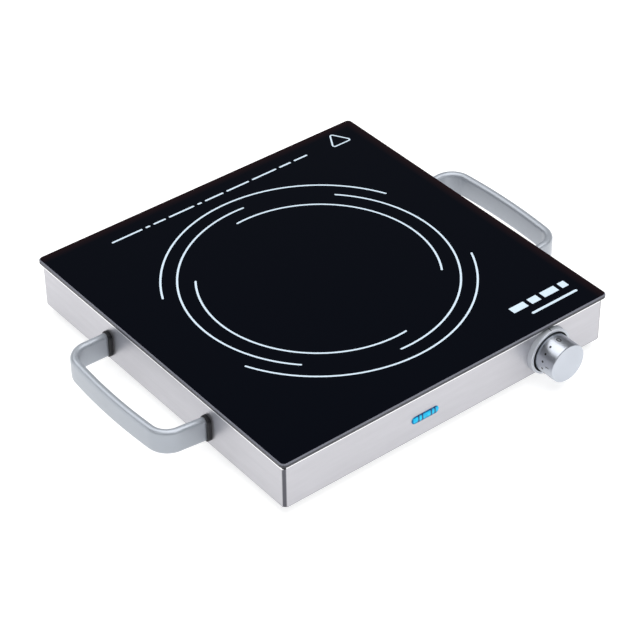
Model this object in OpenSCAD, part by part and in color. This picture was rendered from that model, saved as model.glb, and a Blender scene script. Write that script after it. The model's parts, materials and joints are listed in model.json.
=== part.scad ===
/* [Glass plate] */
// Side of the square glass-ceramic plate
glass_w = 290; // [285:1:300]
// Thickness of the glass plate
glass_t = 4; // [3.5:0.5:5]
// Corner radius of the glass plate in plan
glass_r = 4; // [3:0.5:6]
// Bevel along the top edge of the glass
glass_bevel_top = 0.8; // [0.4:0.1:1.2]
// Bevel along the bottom edge of the glass
glass_bevel_bottom = 1; // [0.4:0.1:1.2]
// Overhang of the glass beyond the body
glass_over = 2.2; // [1:0.2:4]
// Thickness of the silicone bead under the glass
seal_t = 0.6; // [0.4:0.1:1]

/* [Body] */
// Height of the body, silicone bead included
body_h = 37; // [36:1:40]
// Thickness of the stainless sheet
sheet_t = 0.8; // [0.6:0.1:1]
// Outer corner radius of the body in plan
body_r = 3; // [2.5:0.5:4]
// Outer bend radius between the walls and the rims
bend_r = 1.6; // [1.2:0.1:2]
// Width of the rim that carries the glass
top_rim = 11; // [9:1:14]
// Width of the rim that takes the base plate
bottom_rim = 13; // [11:1:16]

/* [Feet] */
// Height of the body's lower edge above the table
foot_h = 7; // [6:0.5:9]
// Largest radius of a foot
foot_r = 9; // [7:0.5:11]
// Distance of a foot's axis from the body's outer faces
foot_inset = 30; // [26:1:40]

/* [Carry handles] */
// Distance from the body to the middle of the bar at its ends
handle_reach = 36.3; // [30:0.1:42]
// Half length of the bar between its corner tangents' crossing points
handle_half = 58.9; // [54:0.1:64]
// Bend radius at the middle of the bar's corners
handle_corner_r = 15; // [12:0.5:18]
// Outward bow of the bar at its middle
handle_bow = 2; // [1:0.5:6]
// Thickness of the bar
handle_t = 6.3; // [6:0.1:8]
// Height of the bar
handle_h = 19.6; // [18:0.1:24]
// Rounding of the bar's edges
handle_edge_r = 3; // [2:0.1:3]
// Height of the bar's middle above the table
handle_z = 23.6; // [22:0.1:26]
// How far each leg spreads sideways on its way to the body
leg_splay = 1.1; // [0:0.1:1.5]
// How far each leg dips on its way to the body
leg_drop = 1.4; // [0:0.1:2]
// Depth of the black insulating boots
boot_d = 3; // [2:0.2:5]

/* [Heat control] */
// Distance of the knob's axis to the right of the middle
knob_x = 89.8; // [70:0.1:100]
// Height of the knob's axis above the table
knob_z = 24.7; // [23:0.1:26]
// Radius of the knob
knob_r = 15; // [13:0.5:15]
// Distance of the knob's front from the body
knob_out = 21.8; // [18:0.2:26]
// Outer radius of the fixed bezel at the body
bezel_r = 18.3; // [18.1:0.1:18.5]
// Depth of the fixed bezel
bezel_d = 4.4; // [4:0.2:7]
// Radius of the regulator's shaft
shaft_r = 3; // [2.5:0.5:3]

/* [Pilot lamp] */
// Distance of the lens's middle to the left of the middle
lens_x = 22; // [10:0.1:40]
// Height of the lens's middle above the table
lens_z = 23.9; // [22:0.1:27]
// Length of the lens
lens_w = 24; // [20:0.5:30]
// Height of the lens
lens_h = 6.2; // [5.6:0.1:9]
// How far the lens stands out from the body
lens_out = 1.1; // [0.8:0.1:3]

/* [Heater] */
// Outer radius of the heater dish
dish_r = 91; // [80:1:95]
// Radius inside the heater's insulating wall
glow_r = 78; // [70:1:80]
// Distance between the turns of the ribbon element
turn_pitch = 10; // [8:0.5:12]

/* [Cord entry] */
// Distance of the gland's axis to the left of the middle
gland_x = 90; // [60:1:100]
// How far the gland stands out from the rear wall
gland_out = 12; // [10:0.5:14]
// Radius of the cord bore in the gland's rubber
cord_r = 4; // [3:0.1:4]

/* [Hidden] */
$fn = 64;

eps = 0.01;
glass_z = foot_h + body_h;
total_h = glass_z + glass_t;
body_w = glass_w - 2 * glass_over;
face = body_w / 2;
wall_in = face - sheet_t;
body_top = glass_z - seal_t;
floor_z = foot_h + sheet_t;
// The frame's origin is under the middle of the whole outline, knob and gland included
shift_y = (knob_out - gland_out) / 2;

// Bend reliefs at the body's corners
relief_r = 1.5;
relief_in = 1.4;
relief_top_h = 1.9;
relief_bottom_h = 1.5;

// Base plate
base_t = 0.8;
base_w = body_w - 10;
base_z = foot_h - base_t;
base_screw_at = face - 9;
base_screw_r = 1.45;
screw_clear = 0.15;

// Feet and their M4 screws
foot_at = face - foot_inset;
foot_recess_r = 4.2;
foot_recess_h = 3.4;
m4_r = 1.95;
m4_hole_r = 2.2;
m4_head_r = 3.6;

// Handle path, worked out from its reach, bow and corner radius
bow_half = handle_half - handle_corner_r;
bow_r = (bow_half * bow_half + handle_bow * handle_bow) / (2 * handle_bow);
bow_a = asin(bow_half / bow_r);
bow_cx = face + handle_reach + handle_bow - bow_r;
corner_cx = bow_cx + (bow_r - handle_corner_r) * cos(bow_a);
corner_cy = (bow_r - handle_corner_r) * sin(bow_a);
leg_y = corner_cy + handle_corner_r;
leg_base_y = leg_y + leg_splay;
leg_base_z = handle_z - leg_drop;
leg_len = corner_cx - face;
boot_w = handle_t + 3.2;
boot_h = handle_h + 1.8;
boot_r = 4.7;
boot_edge_r = 1;
boot_fit = 0.1;
edge_steps = 5;
corner_steps = 8;
bow_steps = 10;
leg_screw_in = 11;
washer_t = 1;

// Heater stack, from the base plate upwards
shield_t = 0.6;
shield_z = foot_h + 4;
shield_w = 186;
dish_t = 0.6;
dish_z = foot_h + 10.5;
dish_h = 24;
bed_r = dish_r - dish_t;
bed_z = dish_z + dish_t;
bed_top = bed_z + 15.4;
turns = floor((glow_r - 6) / turn_pitch) - 1;
turn_r0 = 12;
ribbon_t = 0.6;
ribbon_h = 2.6;
gap_half = 5;
turn_steps = 36;
rod_r = 3;
rod_z = glass_z - 4.4;
head_len = 22;

// Regulator behind the front wall
bracket_t = 1.2;
case_w = 36;
case_h = 30;
case_d = 24;
case_wall = 2.5;
case_y = -(wall_in - bracket_t);
case_back = case_y + case_d;
cover_t = 1.6;
reg_screw_x = 9.6;
m3_r = 1.45;
m3_hole_r = 1.6;
run_gap = 0.05;
shaft_tip = -(face + 15);
shaft_end = case_back - 5;

// Bezel, its rubber liner and the knob, all on the regulator's axis
bezel_front_r = 18;
bezel_bore_r = 16.2;
bezel_base_t = 0.8;
liner_r = 15.7;
liner_base_t = 1;
liner_hole_r = 13;
knob_back = face + bezel_base_t + liner_base_t + 0.6;
knob_front = face + knob_out;
knob_wall = 1.2;
knob_bevel = 0.4;
hub_r = 5.6;
hub_back = face + 3.4;
core_r = knob_r - knob_wall;

// Pilot lamp behind its cut-out
lens_body_w = lens_w - 1.6;
lens_body_h = lens_h - 1.6;
lens_in = 6;
holder_d = 17;

// Gland in the rear wall
gland_z = 24.7;
gland_thread_r = 8;
gland_in = 10;
gland_flange_t = 3;
gland_bore_r = 6.4;
gland_cap_r = 10;

// Mains terminal block and earth point on the base plate
block_x = -gland_x;
block_y = 104;
block_w = 34;
block_d = 16;
block_h = 14;
block_pitch = 10;
earth_x = -56;
earth_y = 112;
wire_r = 1.2;
wire_sides = 8;

// Steps along each conductor, on or above the base plate
live_path = [
    [-90, 98, 14], [-90, 90, 14], [-114, 78, 12], [-118, 40, 10], [-118, -90, 10],
    [-100, -118, 10], [-40, -122, 10], [40, -122, 10], [66, -104, 14], [81, -98, 18], [81, -107, 18]
];
neutral_path = [
    [-100, 98, 14], [-100, 94, 14], [-124, 80, 14], [-124, 30, 14], [-124, -84, 14],
    [-108, -110, 14], [-60, -118, 15], [-40, -118, 22], [-26, -118, 24.7], [-26, -124, 24.7]
];
heater_path = [
    [98, -107, 18], [98, -100, 18], [112, -84, 20], [120, -50, 24], [124, -20, 28], [120, -3, 30], [114.5, -3, 30]
];
earth_path = [
    [-80, 98, 14], [-80, 92, 14], [-62, 92, 14], [-56, 98, 13], [-56, 106, 11.8]
];

// ---- Shared shapes ----

module place() {
    translate([0, shift_y, 0]) children();
}

// A flat rectangle with round corners, in the XY plane
module round_rect(w, h, r) {
    square([w - 2 * r, h], center = true);
    square([w, h - 2 * r], center = true);
    for (x = [-1, 1], y = [-1, 1])
        translate([x * (w / 2 - r), y * (h / 2 - r)]) circle(r);
}

module round_plate(w, d, r, t) {
    linear_extrude(t) round_rect(w, d, r);
}

// Sweeps a profile round a rounded rectangle: x = 0 is the corner's axis, x = r the outer face
module rim_sweep(w, d, r) {
    for (a = [0, 90, 180, 270]) {
        along = (a % 180 == 0) ? d : w;
        out = (a % 180 == 0) ? w : d;
        rotate([0, 0, a]) translate([out / 2 - r, 0, 0]) {
            rotate([90, 0, 0]) linear_extrude(along - 2 * r, center = true) children();
            translate([0, along / 2 - r, 0]) rotate_extrude(angle = 90) children();
        }
    }
}

// A rounded slab whose edge has the given profile
module slab(w, d, r, t) {
    translate([-(w / 2 - r), -(d / 2 - r), 0]) cube([w - 2 * r, d - 2 * r, t]);
    rim_sweep(w, d, r) children();
}

// Edge profile of width r and height t with its outer corners rounded
module bent_profile(r, t, e_low, e_high) {
    e = max(e_low, e_high);
    square([r - e, t]);
    translate([0, e_low]) square([r, t - e_low - e_high]);
    if (e_low > 0) intersection() {
        translate([r - e_low, e_low]) circle(e_low);
        translate([r - e_low, 0]) square(e_low);
    }
    if (e_high > 0) intersection() {
        translate([r - e_high, t - e_high]) circle(e_high);
        translate([r - e_high, t - e_high]) square(e_high);
    }
}

// A cylinder along +Y from y0 to y1
module y_rod(r, y0, y1) {
    translate([0, y0, 0]) rotate([-90, 0, 0]) cylinder(r = r, h = y1 - y0);
}

// A stadium-shaped bar along +Y from y0 to y1
module y_stadium(w, h, y0, y1) {
    translate([0, y1, 0]) rotate([90, 0, 0]) linear_extrude(y1 - y0) {
        square([w - h, h], center = true);
        translate([-(w - h) / 2, 0]) circle(h / 2);
        translate([(w - h) / 2, 0]) circle(h / 2);
    }
}

// Four places, mirrored about the middle
module four(x, y) {
    for (sx = [-1, 1], sy = [-1, 1]) translate([sx * x, sy * y, 0]) children();
}

// Places along the four edges of the base plate
module edge_spots() {
    for (a = [0, 90, 180, 270], k = [-1, 1])
        rotate([0, 0, a]) translate([base_screw_at, k * base_screw_at / 2, 0]) children();
}

// A pan-head screw whose shank points up, head underneath
module screw_up(head_r, head_h, shank_r, shank_h) {
    translate([0, 0, -head_h]) cylinder(r = head_r, h = head_h);
    translate([0, 0, -eps]) cylinder(r = shank_r, h = shank_h + eps);
}

module hex_nut(across, h, hole_r) {
    difference() {
        cylinder(r = across / 2 / cos(30), h = h, $fn = 6);
        translate([0, 0, -1]) cylinder(r = hole_r, h = h + 2);
    }
}

// Direction of the path at its point i: along the run at the ends, halfway between two runs elsewhere
function unit(v) = v / norm(v);
function path_dir(path, i) =
    i == 0 ? unit(path[1] - path[0])
    : i == len(path) - 1 ? unit(path[i] - path[i - 1])
    : unit(unit(path[i] - path[i - 1]) + unit(path[i + 1] - path[i]));

// A conductor: a tube swept along the path's points, none of whose runs stands upright
module wire(path, r) {
    n = wire_sides;
    last = (len(path) - 1) * n;
    polyhedron(
        points = [
            for (i = [0 : len(path) - 1])
                let (t = path_dir(path, i), side = unit(cross(t, [0, 0, 1])), up = cross(side, t))
                    for (j = [0 : n - 1]) path[i] + r * (cos(j * 360 / n) * side + sin(j * 360 / n) * up)
        ],
        faces = concat(
            [[for (j = [n - 1 : -1 : 0]) j]],
            [[for (j = [0 : n - 1]) last + j]],
            [
                for (i = [0 : len(path) - 2], j = [0 : n - 1])
                    let (a = i * n + j, b = i * n + (j + 1) % n) [a, b, b + n, a + n]
            ]
        )
    );
}

// ---- Glass and body ----

module glass_profile() {
    polygon([
        [0, 0], [glass_r - glass_bevel_bottom, 0], [glass_r, glass_bevel_bottom],
        [glass_r, glass_t - glass_bevel_top], [glass_r - glass_bevel_top, glass_t], [0, glass_t]
    ]);
}

module glass_top() {
    color("#10131c") place() translate([0, 0, glass_z])
        slab(glass_w, glass_w, glass_r, glass_t) glass_profile();
}

module glass_seal() {
    outer = body_w - 2 * bend_r - 1;
    inner = outer - 12;
    color("#202124") place() translate([0, 0, body_top]) difference() {
        round_plate(outer, outer, 1.2, seal_t);
        translate([0, 0, -1]) round_plate(inner, inner, 1.2, seal_t + 2);
    }
}

module body_cuts() {
    opening_top = body_w - 2 * top_rim;
    opening_bottom = body_w - 2 * bottom_rim;
    translate([0, 0, body_top - 4]) round_plate(opening_top, opening_top, 4, 8);
    translate([0, 0, foot_h - 4]) round_plate(opening_bottom, opening_bottom, 4, 8);
    // Regulator shaft, bracket screws and pilot lamp in the front wall
    translate([knob_x, 0, knob_z]) {
        y_rod(6, -face - 1, -wall_in + 1);
        for (s = [-1, 1]) translate([s * reg_screw_x, 0, 0]) y_rod(m3_hole_r, -face - 1, -wall_in + 1);
    }
    translate([-lens_x, 0, lens_z])
        y_stadium(lens_body_w + 0.3, lens_body_h + 0.3, -face - 1, -wall_in + 1);
    // Cord gland in the rear wall
    translate([-gland_x, 0, gland_z]) y_rod(gland_thread_r + 0.1, wall_in - 1, face + 1);
    // Handle screws in the side walls
    for (s = [-1, 1], k = [-1, 1])
        translate([s * (face - 1), k * leg_base_y, leg_base_z]) rotate([0, 90, 0])
            translate([0, 0, -2]) cylinder(r = m4_hole_r, h = 6);
    // Bend reliefs at the four vertical corners, at both ends
    four(face - relief_in, face - relief_in) {
        translate([0, 0, body_top - relief_top_h]) cylinder(r = relief_r, h = relief_top_h + 1);
        translate([0, 0, foot_h - 1]) cylinder(r = relief_r, h = relief_bottom_h + 1);
    }
    // Base plate screws in the lower rim
    edge_spots() translate([0, 0, foot_h - 1]) cylinder(r = base_screw_r + 0.05, h = sheet_t + 2);
}

module body_shell() {
    outer_h = body_top - foot_h;
    inner_w = body_w - 2 * sheet_t;
    inner_r = body_r - sheet_t;
    inner_h = outer_h - 2 * sheet_t;
    inner_bend = bend_r - sheet_t;
    color("#d6d5d9") place() difference() {
        translate([0, 0, foot_h]) slab(body_w, body_w, body_r, outer_h)
            bent_profile(body_r, outer_h, bend_r, bend_r);
        translate([0, 0, floor_z]) slab(inner_w, inner_w, inner_r, inner_h)
            bent_profile(inner_r, inner_h, inner_bend, inner_bend);
        body_cuts();
    }
}

module vent_slots() {
    slot_l = 26;
    slot_w = 3.2;
    for (a = [0 : 30 : 330], k = [0, 1])
        rotate([0, 0, a + k * 15]) translate([k == 0 ? 44 : 76, 0, base_z - 1])
            round_plate(slot_l, slot_w, slot_w / 2 - eps, base_t + 2);
}

module base_plate() {
    color("#b4b8ba") place() difference() {
        translate([0, 0, base_z]) round_plate(base_w, base_w, 3, base_t);
        edge_spots() translate([0, 0, base_z - 1]) cylinder(r = base_screw_r + screw_clear, h = base_t + 2);
        four(foot_at, foot_at) translate([0, 0, base_z - 1]) cylinder(r = m4_r + screw_clear, h = base_t + 2);
        vent_slots();
        translate([earth_x, earth_y, base_z - 1]) cylinder(r = m4_r + screw_clear, h = base_t + 2);
    }
}

module base_screws() {
    color("#9ea2a5") place() edge_spots() translate([0, 0, base_z])
        screw_up(2.8, 1.6, base_screw_r, base_t + sheet_t + 3);
}

// ---- Feet ----

module foot(sx, sy) {
    color("#1c1c1e") place() translate([sx * foot_at, sy * foot_at, 0]) difference() {
        union() {
            cylinder(r1 = foot_r - 1.4, r2 = foot_r - 0.4, h = 1);
            translate([0, 0, 1]) cylinder(r1 = foot_r - 0.4, r2 = foot_r, h = base_z - 1);
        }
        translate([0, 0, -1]) cylinder(r = foot_recess_r, h = foot_recess_h + 1);
        translate([0, 0, -1]) cylinder(r = m4_hole_r, h = foot_h + 2);
    }
}

module foot_front_left() { foot(-1, -1); }
module foot_front_right() { foot(1, -1); }
module foot_rear_left() { foot(-1, 1); }
module foot_rear_right() { foot(1, 1); }

module foot_screws() {
    color("#9ea2a5") place() four(foot_at, foot_at) translate([0, 0, foot_recess_h])
        screw_up(m4_head_r, 2, m4_r, foot_h - foot_recess_h + 5);
}

module foot_nuts() {
    color("#9ea2a5") place() four(foot_at, foot_at) translate([0, 0, foot_h])
        hex_nut(7, 3.2, m4_r + eps);
}

// ---- Carry handles ----

// Points round the bar's section: distance along the outward normal, height
function handle_section() = [
    for (q = [0 : 3], i = [0 : edge_steps])
        let (a = q * 90 + i * 90 / edge_steps, sn = (q == 0 || q == 3) ? 1 : -1, sz = (q < 2) ? 1 : -1)
            [
                sn * (handle_t / 2 - handle_edge_r) + handle_edge_r * cos(a),
                sz * (handle_h / 2 - handle_edge_r) + handle_edge_r * sin(a)
            ]
];

// Places along the bar's middle line: x, y, the direction of its outward normal, height
function corner_spots(side) = [
    for (i = [0 : corner_steps])
        let (k = side > 0 ? i : corner_steps - i, a = side * (90 - k * (90 - bow_a) / corner_steps))
            [corner_cx + handle_corner_r * cos(a), side * corner_cy + handle_corner_r * sin(a), a, 0]
];
function bow_spots() = [
    for (i = [1 : bow_steps - 1])
        let (a = bow_a - 2 * bow_a * i / bow_steps) [bow_cx + bow_r * cos(a), bow_r * sin(a), a, 0]
];
function handle_spots() = concat(
    [[face, leg_base_y, 90, -leg_drop]], corner_spots(1), bow_spots(), corner_spots(-1),
    [[face, -leg_base_y, -90, -leg_drop]]
);

module handle() {
    spots = handle_spots();
    section = handle_section();
    n = len(section);
    last = (len(spots) - 1) * n;
    difference() {
        polyhedron(
            points = [
                for (s = spots, p = section) [s[0] + p[0] * cos(s[2]), s[1] + p[0] * sin(s[2]), s[3] + p[1]]
            ],
            faces = concat(
                [[for (j = [0 : n - 1]) j]],
                [[for (j = [n - 1 : -1 : 0]) last + j]],
                [
                    for (k = [0 : len(spots) - 2], j = [0 : n - 1])
                        let (a = k * n + j, b = k * n + (j + 1) % n) [a, a + n, b + n, b]
                ]
            )
        );
        for (k = [-1, 1]) translate([face - 1, k * leg_base_y, -leg_drop]) rotate([0, 90, 0])
            cylinder(r = m4_r + eps, h = leg_screw_in + 2);
    }
}

module handle_left() {
    color("#c6cbd4") place() translate([0, 0, handle_z]) mirror([1, 0, 0]) handle();
}

module handle_right() {
    color("#c6cbd4") place() translate([0, 0, handle_z]) handle();
}

module boot(sx, sy) {
    // The hole leaves room for the leg's lean within the boot's depth
    lean_y = leg_splay * boot_d / leg_len;
    lean_z = leg_drop * boot_d / leg_len;
    color("#2b2b2f") place() translate([sx * face, sy * leg_base_y, leg_base_z]) rotate([90, 0, sx * 90])
    difference() {
        slab(boot_w, boot_h, boot_r, boot_d) bent_profile(boot_r, boot_d, 0, boot_edge_r);
        translate([-sx * sy * lean_y / 2, lean_z / 2, -1]) linear_extrude(boot_d + 2)
            round_rect(handle_t + boot_fit + lean_y, handle_h + boot_fit + lean_z, handle_edge_r);
    }
}

module boot_left_front() { boot(-1, -1); }
module boot_left_rear() { boot(-1, 1); }
module boot_right_front() { boot(1, -1); }
module boot_right_rear() { boot(1, 1); }

module handle_screws() {
    color("#9ea2a5") place() for (s = [-1, 1], k = [-1, 1])
        translate([s * (wall_in - washer_t), k * leg_base_y, leg_base_z]) rotate([0, s * 90, 0])
            screw_up(m4_head_r, 2.6, m4_r, washer_t + sheet_t + leg_screw_in);
}

module handle_washers() {
    color("#9ea2a5") place() for (s = [-1, 1], k = [-1, 1])
        translate([s * (wall_in - washer_t), k * leg_base_y, leg_base_z]) rotate([0, s * 90, 0]) difference() {
            cylinder(r = 5, h = washer_t);
            translate([0, 0, -1]) cylinder(r = m4_r + screw_clear, h = washer_t + 2);
        }
}

// ---- Radiant heater ----

module heater_slots() {
    // Limiter rod and ribbon leads pass through the heater's wall
    translate([0, 0, rod_z]) rotate([0, 90, 0]) cylinder(r = rod_r + 0.3, h = dish_r + 5);
    translate([-dish_r - 5, -6, bed_top]) cube([30, 12, 3]);
}

module heater_dish() {
    color("#b9bdc0") place() difference() {
        translate([0, 0, dish_z]) cylinder(r = dish_r, h = dish_h, $fn = 128);
        translate([0, 0, bed_z]) cylinder(r = bed_r, h = dish_h, $fn = 128);
        heater_slots();
    }
}

module heater_insulation() {
    color("#e9e6dc") place() translate([0, 0, bed_z]) cylinder(r = bed_r, h = bed_top - bed_z, $fn = 128);
}

module heater_wall_ring() {
    color("#ded8c6") place() difference() {
        translate([0, 0, bed_top]) cylinder(r = bed_r, h = glass_z - bed_top, $fn = 128);
        translate([0, 0, bed_top - 1]) cylinder(r = glow_r, h = glass_z, $fn = 128);
        heater_slots();
    }
}

// The ribbon's middle line: open turns round the middle, joined at alternate ends beside the gap towards -X
function turn_line(i) =
    let (r = turn_r0 + i * turn_pitch, end_a = 180 - asin(gap_half / r), way = (i % 2 == 0) ? 1 : -1)
        [for (k = [0 : turn_steps]) let (a = way * end_a * (2 * k / turn_steps - 1)) [r * cos(a), r * sin(a)]];
function offset_line(line, d) = [
    for (i = [0 : len(line) - 1])
        let (t = path_dir(line, i)) line[i] + d * [-t[1], t[0]]
];
function reversed(line) = [for (i = [len(line) - 1 : -1 : 0]) line[i]];

module heating_element() {
    line = [for (i = [0 : turns]) each turn_line(i)];
    color("#8a8078") place() translate([0, 0, bed_top]) linear_extrude(ribbon_h)
        polygon(concat(offset_line(line, ribbon_t / 2), reversed(offset_line(line, -ribbon_t / 2))));
}

module element_leads() {
    inner_x = sqrt(turn_r0 * turn_r0 - gap_half * gap_half);
    outer_r = turn_r0 + turns * turn_pitch;
    outer_x = sqrt(outer_r * outer_r - gap_half * gap_half);
    outer_side = (turns % 2 == 0) ? 1 : -1;
    lead_end = dish_r + 8;
    color("#8a8078") place() translate([0, 0, bed_top]) {
        translate([-lead_end, -1.6, 0]) cube([lead_end - inner_x + 0.2, 1.2, 1.6]);
        translate([-inner_x - 1, -gap_half + 0.4, 0]) cube([1.2, gap_half - 0.8, 1.6]);
        translate([-lead_end, outer_side * 3.4 - 0.6, 0]) cube([lead_end - outer_x - 0.6, 1.2, 1.6]);
    }
}

module element_terminals() {
    color("#efece2") place() difference() {
        translate([-dish_r - 17, -9, bed_top - 9]) cube([16, 18, 14]);
        translate([-dish_r - 9, -6, bed_top - 0.1]) cube([20, 12, 3]);
        for (k = [-1, 1]) translate([-dish_r - 12, k * 4.5, bed_top]) cylinder(r = 1.5, h = 10);
    }
}

module limiter_rod() {
    color("#e4e8ea") place() difference() {
        translate([-glow_r + 0.4, 0, rod_z]) rotate([0, 90, 0])
            cylinder(r = rod_r, h = glow_r + dish_r + 5.8, $fn = 48);
        translate([-glow_r - 1, 0, rod_z]) rotate([0, 90, 0])
            cylinder(r = rod_r - 1, h = glow_r + dish_r + 6, $fn = 48);
    }
}

module limiter_head() {
    color("#efece2") place() difference() {
        translate([dish_r + 0.3, -9, rod_z - 14]) cube([head_len, 18, 17.5]);
        translate([dish_r - 1, 0, rod_z]) rotate([0, 90, 0]) cylinder(r = rod_r + 0.05, h = 7.3);
    }
}

module heater_springs() {
    rise = dish_z - shield_z;
    leaf = 0.5;
    color("#aeb3b6") place() for (a = [45, 135, 225, 315]) rotate([0, 0, a])
        translate([58, 6, shield_z]) rotate([90, 0, 0]) linear_extrude(12) polygon([
            [-12, 0], [2, 0], [14, rise - leaf], [22, rise - leaf], [22, rise],
            [13.6, rise], [1.6, leaf], [-12, leaf]
        ]);
}

module heat_shield() {
    color("#b9bdc0") place() {
        translate([-shield_w / 2, -shield_w / 2, shield_z - shield_t]) cube([shield_w, shield_w, shield_t]);
        for (s = [0, 1]) mirror([s, 0, 0]) translate([shield_w / 2 - shield_t, -shield_w / 2, foot_h])
            cube([shield_t, shield_w, shield_z - foot_h]);
    }
}

// ---- Regulator ----

module regulator_bracket() {
    color("#b9bdc0") place() translate([knob_x, 0, knob_z]) difference() {
        translate([-case_w / 2, -wall_in, -case_h / 2]) cube([case_w, bracket_t, case_h]);
        y_rod(5.2, -wall_in - 1, case_y + 1);
        for (s = [-1, 1]) translate([s * reg_screw_x, 0, 0])
            y_rod(m3_r + eps, -wall_in - 1, case_y + 1);
    }
}

module regulator_case() {
    color("#3a2c22") place() translate([knob_x, 0, knob_z]) difference() {
        union() {
            translate([-case_w / 2, case_y, -case_h / 2]) cube([case_w, case_d, case_h]);
            y_rod(5, -face + 0.2, case_y + eps);
        }
        translate([-case_w / 2 + case_wall, case_y + case_wall, -case_h / 2 + case_wall])
            cube([case_w - 2 * case_wall, case_d, case_h - 2 * case_wall]);
        y_rod(shaft_r + run_gap, -face - 1, case_y + case_wall + 1);
        for (s = [-1, 1]) translate([s * reg_screw_x, 0, 0])
            y_rod(m3_r + eps, case_y - 1, case_y + case_wall + 1);
    }
}

module regulator_cover() {
    color("#2c2420") place() translate([knob_x, 0, knob_z])
        translate([-case_w / 2, case_back, -case_h / 2]) cube([case_w, cover_t, case_h]);
}

module regulator_tabs() {
    color("#c9b26a") place() translate([knob_x, case_back + cover_t, knob_z])
        for (x = [-11, 0, 11], z = [-8, 8])
            if (x != 0 || z > 0) translate([x - 0.4, 0, z - 3.15]) cube([0.8, 8, 6.3]);
}

module contact_blade() {
    color("#c77f4a") place() translate([knob_x, 0, knob_z]) {
        translate([-8, case_y + 8, -case_h / 2 + case_wall]) cube([16, 5, 0.5]);
        translate([-8, case_y + 8, -case_h / 2 + case_wall]) cube([0.5, 5, 2.6]);
    }
}

module regulator_shaft() {
    color("#b0b0a8") place() translate([knob_x, 0, knob_z]) difference() {
        y_rod(shaft_r, shaft_tip, shaft_end);
        translate([-5, shaft_tip - 1, shaft_r - 1.4]) cube([10, 11, 5]);
    }
}

module regulator_cam() {
    cam_r = 7.6;
    color("#e8e2d2") place() translate([knob_x, 0, knob_z]) difference() {
        y_rod(cam_r, case_y + 6, case_y + 15);
        y_rod(shaft_r, case_y + 5, case_y + 16);
    }
}

module bracket_screws() {
    color("#9ea2a5") place() for (s = [-1, 1])
        translate([knob_x + s * reg_screw_x, -face - bezel_base_t, knob_z]) rotate([-90, 0, 0])
            screw_up(2.7, 1.5, m3_r, bezel_base_t + sheet_t + bracket_t + case_wall);
}

// ---- Bezel and knob ----

module knob_bezel() {
    color("#dcdfe4") place() translate([knob_x, -face, knob_z]) rotate([90, 0, 0]) difference() {
        union() {
            cylinder(r1 = bezel_r, r2 = bezel_front_r, h = bezel_d - 0.5, $fn = 96);
            translate([0, 0, bezel_d - 0.5])
                cylinder(r1 = bezel_front_r, r2 = bezel_front_r - 0.4, h = 0.5, $fn = 96);
        }
        translate([0, 0, bezel_base_t]) cylinder(r = bezel_bore_r, h = bezel_d, $fn = 96);
        translate([0, 0, -1]) cylinder(r = 6, h = bezel_d);
        for (s = [-1, 1]) translate([s * reg_screw_x, 0, -1]) cylinder(r = m3_hole_r, h = bezel_d);
    }
}

module knob_seal() {
    color("#141416") place() translate([knob_x, -face - bezel_base_t, knob_z]) rotate([90, 0, 0]) difference() {
        cylinder(r = bezel_bore_r, h = bezel_d - bezel_base_t - 0.6, $fn = 96);
        translate([0, 0, liner_base_t]) cylinder(r = liner_r, h = bezel_d, $fn = 96);
        translate([0, 0, -1]) cylinder(r = liner_hole_r, h = bezel_d, $fn = 96);
    }
}

module knob_skin() {
    side_l = knob_front - knob_back - knob_bevel;
    color("#dfe3e9") place() translate([knob_x, -knob_back, knob_z]) rotate([90, 0, 0]) difference() {
        union() {
            cylinder(r = knob_r, h = side_l, $fn = 96);
            translate([0, 0, side_l])
                cylinder(r1 = knob_r, r2 = knob_r - knob_bevel, h = knob_bevel, $fn = 96);
        }
        translate([0, 0, -1]) cylinder(r = core_r, h = side_l + knob_bevel + 1 - knob_wall, $fn = 96);
    }
}

module knob_core() {
    front = -(knob_front - knob_wall);
    color("#1b1b1d") place() translate([knob_x, 0, knob_z]) difference() {
        union() {
            y_rod(core_r, front, front + 2.4);
            y_rod(hub_r, front, -hub_back);
            difference() {
                y_rod(core_r, front, -knob_back - 0.6);
                y_rod(core_r - 1.4, front - 1, -knob_back + 1);
            }
        }
        difference() {
            y_rod(shaft_r + 0.02, shaft_tip - 1, -hub_back + 1);
            translate([-5, shaft_tip - 2, shaft_r - 1.38]) cube([10, 12, 5]);
        }
        translate([-1.7, shaft_tip + 2, shaft_r - 1.38]) cube([3.4, 7, 0.9]);
    }
}

module knob_clip() {
    color("#a9adb0") place() translate([knob_x, 0, knob_z])
        translate([-1.6, shaft_tip + 2.2, shaft_r - 1.36]) cube([3.2, 6.4, 0.6]);
}

// ---- Pilot lamp ----

module pilot_lens() {
    color("#16a3f0") place() translate([-lens_x, 0, lens_z]) difference() {
        union() {
            y_stadium(lens_w, lens_h, -face - lens_out, -face);
            y_stadium(lens_body_w, lens_body_h, -face - eps, -face + lens_in);
        }
        y_stadium(lens_body_w - 2.4, lens_body_h - 2.4, -face, -face + lens_in + 1);
    }
}

module pilot_holder() {
    color("#e6e3da") place() translate([-lens_x, 0, lens_z]) difference() {
        y_stadium(lens_w + 4, lens_h + 4, -wall_in, -wall_in + holder_d);
        y_stadium(lens_body_w + 0.2, lens_body_h + 0.2, -wall_in - 1, -wall_in + holder_d - 2);
    }
}

module pilot_lamp() {
    color("#e7a06a") place() translate([-lens_x - 6, -wall_in + 10, lens_z]) rotate([0, 90, 0])
        cylinder(r = 2.2, h = 12);
}

// ---- Cord entry ----

module gland_body() {
    color("#1d1d20") place() translate([-gland_x, 0, gland_z]) difference() {
        union() {
            y_rod(11, face, face + gland_flange_t);
            y_rod(gland_thread_r, face - sheet_t - gland_in, face + gland_flange_t + 4);
        }
        y_rod(gland_bore_r, face - sheet_t - gland_in - 1, face + gland_out);
    }
}

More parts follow.
